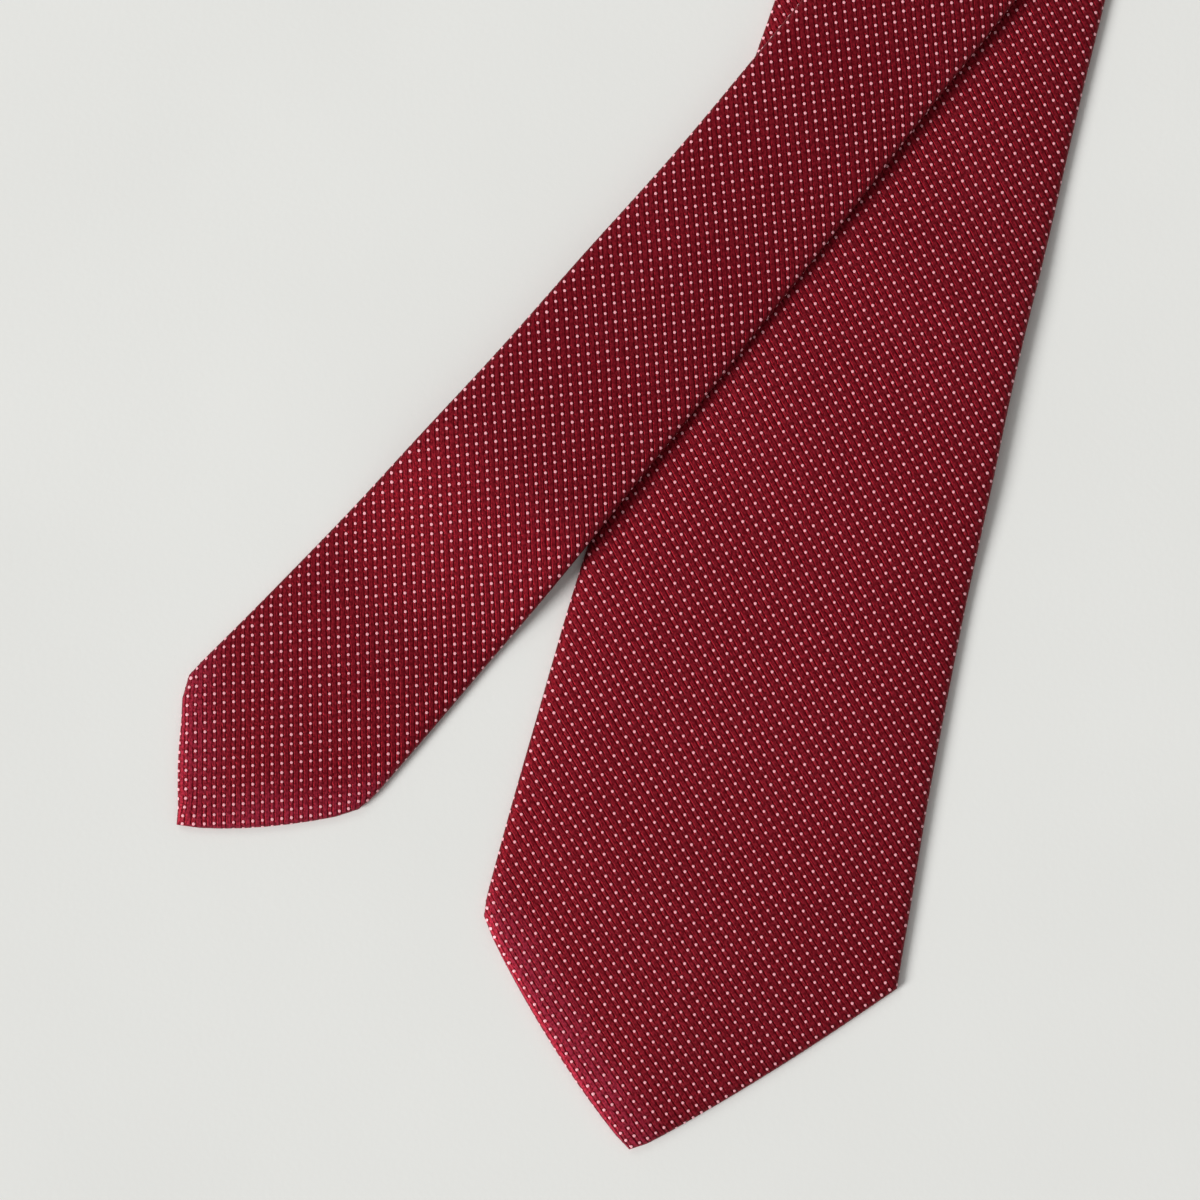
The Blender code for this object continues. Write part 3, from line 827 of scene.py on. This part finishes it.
def hem_stitches(band):
    """Short slanted stitches from the hem's edge to the lining, round the tip."""
    half = band.tip["half"] - REACH
    reach = 1 - (FLAP_AT_CORNER + HEM_STITCH_END) / half
    count = int(2 * half * reach * MITRE / HEM_STITCH)
    shares = np.linspace(-reach, reach, count)
    row = band.hem + HEM_AHEAD
    return [band.point(share + HEM_ACROSS / half, row, REACH, HEM_HEIGHT) for share in shares]


def bar_tack(band, row, width):
    """Close stitches over three long ones, across the foot of the seam."""
    s = float(band.flat(np.array(0.0), np.array(row), LINING_INSET)[1])
    count = int(width / BAR_STITCH)
    t = np.linspace(-width / 2, width / 2, count + 1)
    over = np.stack([t, s + BAR_SWING * zigzag(count)], -1)
    runs = [band.place(over, BAR_TOP + 0 * t, row + 0 * t)]
    for shift in BAR_LINES:
        under = np.stack([t * BAR_OVERHANG, s + shift + 0 * t], -1)
        runs.append(band.place(under, BAR_BOTTOM + 0 * t, row + 0 * t))
    return runs


def keeper_tack(band, side):
    """Stitches from the blade's back over the keeper loop's end."""
    outer = zigzag(KEEPER_TACK_STITCHES) < 0
    past, height = np.where(outer[:, None], KEEPER_OUTER, KEEPER_INNER).T
    t = side * (LOOP_LENGTH / 2 + past)
    s = LOOP_PLACE + np.linspace(-KEEPER_TACK_HALF, KEEPER_TACK_HALF, len(outer))
    return [band.place(np.stack([t, s], -1), height, s)]


def piecing_stitches(band):
    """The stitches inside a fold that join two cuts of the silk."""
    shares = np.linspace(-PIECING_REACH, PIECING_REACH, PIECING_STITCHES + 1)
    height = THICKNESS / 2 + PIECING_SWING * zigzag(PIECING_STITCHES)
    row = band.length + 0 * shares
    return [band.point(shares, row, 0 * shares, height, PIECING_CLEARANCE)]


def make_threads(front, neck, tail, paint):
    """Every thread of the tie, each standing for its plain CAD one."""
    thin, thick = THIN_THREAD, THICK_THREAD
    threads = (
        ("front_slip_stitch", "front", slip_stitch(front, FRONT_TACK + SEAM_END), thin),
        ("neck_slip_stitch", "neck", slip_stitch(neck, SEAM_END), thin),
        ("tail_slip_stitch", "tail", slip_stitch(tail, TAIL_TACK + SEAM_END), thin),
        ("front_hem_stitch", "front", hem_stitches(front), thin),
        ("tail_hem_stitch", "tail", hem_stitches(tail), thin),
        ("front_bar_tack", "front", bar_tack(front, *FRONT_BAR), thick),
        ("tail_bar_tack", "tail", bar_tack(tail, *TAIL_BAR), thick),
        ("keeper_tack_left", "front", keeper_tack(front, -1), thick),
        ("keeper_tack_right", "front", keeper_tack(front, 1), thick),
        ("front_piecing_seam", "front", piecing_stitches(front), thin),
        ("tail_piecing_seam", "tail", piecing_stitches(tail), thin),
    )
    for node, body, runs, radius in threads:
        obj = make_thread(node + "_thread", runs, radius)
        finish_piece(obj, body, "thread", paint, node)


# Materials


class Paint:
    """Short calls for one material's nodes."""

    def __init__(self, name, roughness, **settings):
        self.material = bpy.data.materials.new(name)
        self.material.use_nodes = True
        self.tree = self.material.node_tree
        self.shader = self.tree.nodes["Principled BSDF"]
        self.shader.inputs["Roughness"].default_value = roughness
        for socket, value in settings.items():
            self.shader.inputs[socket.replace("_", " ")].default_value = value

    def feed(self, socket, value):
        """Links a socket to another, or sets it to a constant."""
        if isinstance(value, bpy.types.NodeSocket):
            self.tree.links.new(value, socket)
        else:
            socket.default_value = value

    def node(self, kind, output=0, inputs=(), **settings):
        """Adds a node and gives back one of its outputs."""
        made = self.tree.nodes.new("ShaderNode" + kind)
        for key, value in settings.items():
            setattr(made, key, value)
        for slot, value in inputs:
            self.feed(made.inputs[slot], value)
        return made.outputs[output]

    def math(self, operation, *values):
        return self.node("Math", 0, list(enumerate(values)), operation=operation)

    def plus(self, a, b):
        return self.math("ADD", a, b)

    def minus(self, a, b):
        return self.math("SUBTRACT", a, b)

    def times(self, a, b):
        return self.math("MULTIPLY", a, b)

    def over(self, a, b):
        return self.math("DIVIDE", a, b)

    def total(self, *terms):
        """The sum of some values, each times its weight."""
        whole, *others = [self.times(value, weight) for value, weight in terms]
        for other in others:
            whole = self.plus(whole, other)
        return whole

    def fade(self, value, low, high, start=0.0, end=1.0):
        """Goes smoothly from start to end as value goes from low to high."""
        inputs = [(0, value), (1, low), (2, high), (3, start), (4, end)]
        return self.node("MapRange", 0, inputs, interpolation_type="SMOOTHSTEP")

    def mix(self, share, a, b):
        return self.node("Mix", 2, [(0, share), (6, a), (7, b)], data_type="RGBA")

    def scaled(self, vector, x, y, turn=0.0):
        inputs = [("Vector", vector), ("Scale", (x, y, 1)), ("Rotation", (0, 0, turn))]
        return self.node("Mapping", 0, inputs)

    def parts(self, vector):
        """A vector's X, Y and Z outputs."""
        made = self.tree.nodes.new("ShaderNodeSeparateXYZ")
        self.feed(made.inputs[0], vector)
        return made.outputs

    def noise(self, vector, scale, detail=2.0):
        inputs = [("Vector", vector), ("Scale", scale), ("Detail", detail)]
        return self.node("TexNoise", 0, inputs)

    def streaks(self, vector, x, y, detail=2.0):
        """Noise stretched by different scales along x and y."""
        return self.noise(self.scaled(vector, x, y), 1.0, detail)

    def cloth_mm(self, turn=0.0):
        """The flat cloth's places in millimetres, turned."""
        places = self.node("UVMap", 0, uv_map="cloth")
        return self.scaled(places, 1000, 1000, turn)

    def bump(self, height, strength):
        """Relief from a height in millimetres."""
        inputs = [("Height", height), ("Distance", 0.001), ("Strength", strength)]
        self.tree.links.new(self.node("Bump", 0, inputs), self.shader.inputs["Normal"])

    def colour(self, value):
        self.feed(self.shader.inputs["Base Color"], value)

    def rough(self, value):
        self.feed(self.shader.inputs["Roughness"], value)


def silk_grooves_and_shade(paint, places, off, side, along):
    """1 in the broken grooves beside each column, and 0 away from them: it sets their relief and their
    painted shade.
    """
    broken = paint.streaks(places, 1.6, 0.55, 1.0)
    from_groove = paint.math("ABSOLUTE", paint.minus(off, 0.42))
    beside = paint.plus(along, paint.times(side, 0.5))
    between = paint.fade(paint.math("PINGPONG", beside, 0.5), 0.12, 0.36, 1.0, 0.0)
    depth = paint.math("MAXIMUM", between, paint.fade(broken, 0.4, 0.62, 0.1, 0.9))
    return paint.times(paint.fade(from_groove, 0.06, 0.24, 1.0, 0.0), depth)


def silk_streaks(paint, off, along):
    """A bright thread down the middle of each column, which fades after each pin dot."""
    middle = paint.fade(off, 0.03, 0.2, 1.0, 0.0)
    after = paint.fade(paint.math("FRACT", along), 0.3, 0.9, 0.1, 1.0)
    return paint.times(paint.times(middle, after), 0.75)


def silk_light(paint, places, off, threads, grain):
    """How much light the uneven threads catch, with a little more between the columns."""
    crossing = paint.streaks(places, 1.3, 4.6, 2.0)
    caught = paint.total(
        (paint.fade(grain, 0.4, 0.6), 0.55),
        (paint.fade(threads, 0.35, 0.65), 0.25),
        (paint.fade(crossing, 0.3, 0.7), 0.2),
    )
    return paint.total((caught, 0.85), (paint.fade(off, 0.5, 0.8), 0.15))


def silk_material(name, weave, tip=None, sides=()):
    """Ribbed silk: a column under each line of pin dots, between two broken grooves darkened with
    painted shade.
    """
    paint = Paint(name, 0.5, Sheen_Weight=0.03, Sheen_Roughness=0.4, Specular_IOR_Level=1.0, IOR=1.6)
    paint.shader.inputs["Sheen Tint"].default_value = (1.0, 0.05, 0.1, 1)
    paint.shader.inputs["Specular Tint"].default_value = (1.0, 0.02, 0.05, 1)
    places = paint.cloth_mm(radians(weave["column"]))
    off, side, along = pattern_places(paint, places, weave)
    threads = paint.streaks(places, 3.4, 0.9, 3.0)
    grain = paint.streaks(places, 1.7, 1.5, 3.0)
    groove_and_shade = silk_grooves_and_shade(paint, places, off, side, along)
    light = silk_light(paint, places, off, threads, grain)
    ground = paint.mix(light, SILK_DARK, SILK_LIGHT)
    if tip:
        # Painted sheen: the sides of the tip that face the light are painted lighter and pinker.
        lit_side_sheen = paint.times(tip_painted_sheen(paint, tip, sides), PAINTED_SHEEN_SHARE)
        ground = paint.mix(paint.times(lit_side_sheen, light), ground, SILK_PAINTED_SHEEN)
    # Painted shade in the grooves, darkest beside each pin dot.
    ground = paint.mix(groove_and_shade, ground, SILK_GROOVE_SHADE)
    ground = paint.mix(silk_streaks(paint, off, along), ground, SILK_STREAK)
    # Darker random patches of tone, with painted shade added on the bands whose threads lie otherwise to
    # the light.
    patches = paint.streaks(places, 0.03, 0.012, 1.0)
    shade = paint.fade(patches, 0.3, 0.7, weave["shade"], weave["shade"] + 0.2)
    paint.colour(paint.mix(shade, ground, SILK_TONE_AND_PAINTED_SHADE))
    paint.rough(paint.fade(threads, 0.2, 0.8, 0.36, 0.54))
    paint.bump(paint.total((groove_and_shade, -0.09), (threads, 0.06), (grain, 0.14)), 1.0)
    return paint.material


def tip_painted_sheen(paint, tip, sides):
    """1 along some sides of a tip, where a painted sheen stands for light caught by the edges, and 0
    further in.
    """
    cloth = paint.cloth_mm()
    parts = paint.parts(cloth)
    from_point = paint.minus(parts["X"], tip["offset"] / MM)
    nearest = 1000.0
    for name, side in sides:
        slope = tip[name] / (tip["half"] - side * tip["offset"])
        side_line = paint.times(from_point, side * slope)
        inward = paint.minus(parts["Y"], side_line)
        nearest = paint.math("MINIMUM", nearest, paint.over(inward, sqrt(1 + slope**2)))
    uneven = paint.times(paint.noise(cloth, 0.11, 2.0), 9)
    return paint.fade(paint.plus(nearest, uneven), 4, 15, 1.0, 0.0)


def pattern_places(paint, places, weave):
    """(mm from the nearest column, signed share of a pitch from it, pitches along it) sockets."""
    parts = paint.parts(places)
    coarse = paint.streaks(places, 0.45, 0.2)
    wander = paint.times(paint.minus(coarse, 0.5), 0.2)
    pitch = weave["across"] / MM
    column = paint.over(paint.plus(parts["X"], wander), pitch)
    column = paint.math("FRACT", paint.plus(column, DOT_ORIGIN[1] + 0.5))
    side = paint.minus(column, 0.5)
    off = paint.times(paint.math("ABSOLUTE", side), pitch)
    lean = 1 / tan(radians(weave["row"] - weave["column"]))
    along = paint.minus(parts["Y"], paint.times(parts["X"], lean))
    along = paint.over(along, weave["along"] / MM)
    return off, side, paint.plus(along, DOT_ORIGIN[0])


def dot_material():
    """Pale pink silk of the pin dots."""
    paint = Paint("pin_dot_silk", 0.4, Sheen_Weight=0.1, Specular_IOR_Level=0.7)
    paint.colour(PIN_PINK)
    return paint.material


def weave_material(name, dark, light, pitch, roughness, relief):
    """A plain or satin cloth from two sets of fine threads."""
    paint = Paint(name, roughness, Sheen_Weight=0.1, Specular_IOR_Level=0.3)
    paint.shader.inputs["Sheen Tint"].default_value = light
    places = paint.cloth_mm(radians(45))
    warp = paint.streaks(places, 1 / pitch, 0.15 / pitch, 2.0)
    weft = paint.streaks(places, 0.2 / pitch, 1 / pitch, 2.0)
    broad = paint.noise(places, 0.05, 2.0)
    both = paint.times(paint.plus(warp, weft), 0.5)
    share = paint.fade(both, 0.35, 0.65)
    tone = paint.total((share, 0.8), (broad, 0.25))
    paint.colour(paint.mix(tone, dark, light))
    paint.rough(paint.fade(warp, 0.2, 0.8, roughness - 0.08, roughness + 0.1))
    paint.bump(both, relief)
    return paint.material


def thread_material():
    """Twisted sewing thread."""
    paint = Paint("sewing_thread", 0.55, Sheen_Weight=0.2, Specular_IOR_Level=0.4)
    places = paint.cloth_mm()
    inputs = [("Vector", places), ("Scale", 0.9), ("Distortion", 0.6)]
    ply = paint.node("TexWave", 1, inputs, wave_type="BANDS", bands_direction="DIAGONAL")
    fuzz = paint.noise(places, 3.0)
    tone = paint.total((ply, 0.7), (fuzz, 0.3))
    paint.colour(paint.mix(tone, (0.09, 0.004, 0.009, 1), (0.22, 0.02, 0.032, 1)))
    paint.rough(paint.fade(fuzz, 0.2, 0.8, 0.5, 0.7))
    paint.bump(ply, 0.15)
    return paint.material


def table_material():
    """Smooth pale board."""
    paint = Paint("pale_board", 0.7, Specular_IOR_Level=0.25)
    places = paint.node("TexCoord", 3)
    mottle = paint.noise(places, 14.0, 3.0)
    paint.colour(paint.mix(mottle, (0.86, 0.865, 0.835, 1), (0.92, 0.925, 0.895, 1)))
    grain = paint.noise(places, 900.0)
    paint.bump(grain, 0.02)
    return paint.material


# Pieces


def make_shells(bands, paints):
    """The three shells with their pin dots, as {body: (cloth, dots, flat places)}."""
    shells = {}
    for seed, (name, band) in enumerate(bands.items()):
        made = make_cloth(name + "_silk", shell_patches(band), not band.face_up, WEAVES[name], seed)
        finish_piece(made[0], name, "silk", paints[name], name + "_shell")
        finish_piece(made[1], name, "silk", paints["dot"])
        shells[name] = made
    return shells


def make_fold(joint, lower, ends, paints, seed):
    """A fold's cloth and pin dots, turning round the fold from the lower band's end to the upper band's.
    """
    low_band, high_band = ends
    folded = fold_patch(*low_band, *high_band, joint)
    cloth, dots, _ = make_cloth(joint + "_silk", [folded], False, WEAVES[lower], seed)
    for obj, paint in ((cloth, paints[lower]), (dots, paints["dot"])):
        obj.data.materials.append(paint)
        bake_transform(obj)
    return [cloth, dots]


def layer_patch(band, last_row, inset, height, clearance, spacing):
    """A flat layer inside a shell, at a height above the band's back."""
    shares = band_shares(band, spacing)
    rows = band_rows(band, spacing)
    rows = np.append(rows[rows < last_row - spacing / 2], last_row)[:, None]
    u = shares[None]
    return patch(band.point(u, rows, inset, height, clearance), band.flat(u, rows, inset, clearance))


def make_layer(names, band, paint, made_patch, thickness):
    """One flat layer of a band, from its (piece, body, slot, node) names."""
    name, body, slot, node = names
    obj, _, corner_cloth, _ = cloth_object(name, [made_patch], not band.face_up)
    thicken(obj, thickness)
    finish_piece(obj, body, slot, paint, node)


def make_layers(bands, paints):
    """The wool inside all three bands, and the lining behind both tips."""
    top = WOOL_BOTTOM + WOOL
    for body, band in bands.items():
        wool = layer_patch(band, band.length, WOOL_INSET, top, WOOL_CLEARANCE, WOOL_SPACING)
        names = (body + "_wool", body, "interlining", body + "_interlining")
        make_layer(names, band, paints["wool"], wool, WOOL)
    top = LINING_BOTTOM + LINING
    for body, last_row in (("front", FRONT_LINING_END), ("tail", TAIL_LINING_END)):
        band = bands[body]
        lining = layer_patch(band, last_row, LINING_INSET, top, FOLD_CLEARANCE, SPACING)
        names = (body + "_lining", body, "lining", body + "_tipping")
        make_layer(names, band, paints["lining"], lining, LINING)


def strip_patch(band, middle, width, length, columns, rows, height_at):
    """A small strip square to the band, with heights given by place from -1 to 1."""
    across = np.linspace(-1, 1, columns + 1)[None] + np.zeros((rows + 1, 1))
    ahead = np.linspace(-1, 1, rows + 1)[:, None] + np.zeros((1, columns + 1))
    flat = np.stack([across * width / 2, middle + ahead * length / 2], -1)
    return patch(band.place(flat, height_at(across, ahead), flat[..., 1]), flat)


def make_keeper(front, paints):
    """The strip of silk across the blade's back, facing down, which holds the tail."""
    under = 0.02 * MM - LOOP_RAISE

    def height_at(across, ahead):
        return under + LOOP_BOW * across**4 + 0.1 * MM * ahead**6

    made = strip_patch(front, LOOP_PLACE, LOOP_LENGTH, LOOP_WIDTH, 22, 8, height_at)
    cloth, dots, flat = make_cloth("keeper_silk", [made], True, FRONT_WEAVE, 7)
    finish_piece(cloth, "front", "silk", paints["front"], "keeper_loop")
    finish_piece(dots, "front", "silk", paints["dot"])


def make_label(front, paints):
    """The blank care label on the lining, with a slight curl at its free end."""
    middle = float(front.flat(np.array(0.0), np.array(LABEL_PLACE), LINING_INSET)[1])

    def height_at(across, ahead):
        return (0.2 + 0.12 * np.abs(across) ** 3 - 0.06 * ahead) * MM

    made = strip_patch(front, middle, LABEL_WIDTH, LABEL_LENGTH, 12, 16, height_at)
    label, _, corner_cloth, _ = cloth_object("care_label_tape", [made], True)
    thicken(label, LABEL_TAPE)
    finish_piece(label, "front", "label", paints["label"], "care_label")


def make_paints():
    """Every material of the tie, by the name that the pieces call it."""
    wool_dark, wool_light = (0.5, 0.46, 0.38, 1), (0.84, 0.8, 0.7, 1)
    lining_dark, lining_light = (0.06, 0.003, 0.006, 1), (0.16, 0.014, 0.022, 1)
    label_dark, label_light = (0.52, 0.48, 0.4, 1), (0.78, 0.74, 0.66, 1)
    return {
        "front": silk_material("front_silk", FRONT_WEAVE, FRONT_TIP, FRONT_SHEEN_SIDES),
        "neck": silk_material("neck_silk", NECK_WEAVE),
        "tail": silk_material("tail_silk", TAIL_WEAVE, TAIL_TIP, TAIL_SHEEN_SIDES),
        "dot": dot_material(),
        "wool": weave_material("wool", wool_dark, wool_light, 0.7, 0.9, 0.25),
        "lining": weave_material("lining", lining_dark, lining_light, 0.22, 0.34, 0.04),
        "label": weave_material("label", label_dark, label_light, 0.3, 0.45, 0.05),
        "thread": thread_material(),
    }


def make_tie():
    """The whole tie: its bands, shells, folds, layers, keeper loop, label and threads."""
    front, neck, tail = make_bands()
    bands = {"front": front, "neck": neck, "tail": tail}
    paints = make_paints()
    shells = make_shells(bands, paints)
    first_ends = ((front, front.length), (neck, 0.0))
    second_ends = ((neck, neck.length), (tail, tail.length))
    folds = {
        "front": make_fold("front_fold", "front", first_ends, paints, 5),
        "neck": make_fold("tail_fold", "neck", second_ends, paints, 6),
        "tail": [],
    }
    make_layers(bands, paints)
    make_keeper(front, paints)
    make_label(front, paints)
    make_threads(front, neck, tail, paints["thread"])


def aimed(obj, place, target):
    """Links a light or camera at a place, looking at a target."""
    bpy.context.scene.collection.objects.link(obj)
    obj.location = place
    aim = Vector(target) - Vector(place)
    obj.rotation_euler = aim.to_track_quat("-Z", "Y").to_euler()


def make_floor():
    """A level board, far wider than the picture."""
    reach = FLOOR_REACH
    points = np.array([(-reach, -reach, 0), (reach, -reach, 0), (reach, reach, 0), (-reach, reach, 0)])
    floor = mesh_object("floor", points, np.array([[0, 1, 2, 3]]))
    floor.data.materials.append(table_material())


def make_lights():
    """Even pale surroundings, a broad soft window from the lower left, and a weak fill light."""
    scene = bpy.context.scene
    scene.world = bpy.data.worlds.new("studio")
    scene.world.use_nodes = True
    background = scene.world.node_tree.nodes["Background"]
    background.inputs["Color"].default_value = ROOM_COLOUR
    background.inputs["Strength"].default_value = ROOM_STRENGTH
    window = bpy.data.lights.new("window", "SUN")
    window.energy = WINDOW_STRENGTH
    window.angle = WINDOW_SPREAD
    aimed(bpy.data.objects.new("window", window), WINDOW_PLACE, LIT_PLACE)
    fill = bpy.data.lights.new("fill", "AREA")
    fill.energy = FILL_POWER
    fill.size = FILL_SIZE
    aimed(bpy.data.objects.new("fill", fill), FILL_PLACE, LIT_PLACE)


def make_camera():
    """Straight above the two tips, with +Y up in the picture."""
    camera = bpy.data.cameras.new("camera")
    camera.lens = CAMERA_LENS
    camera.clip_start = 0.01
    camera.clip_end = 50
    obj = bpy.data.objects.new("camera", camera)
    bpy.context.scene.collection.objects.link(obj)
    obj.location = CAMERA_PLACE
    bpy.context.scene.camera = obj


make_camera()
make_floor()
make_lights()
bpy.context.scene.view_settings.view_transform = "Standard"
make_tie()
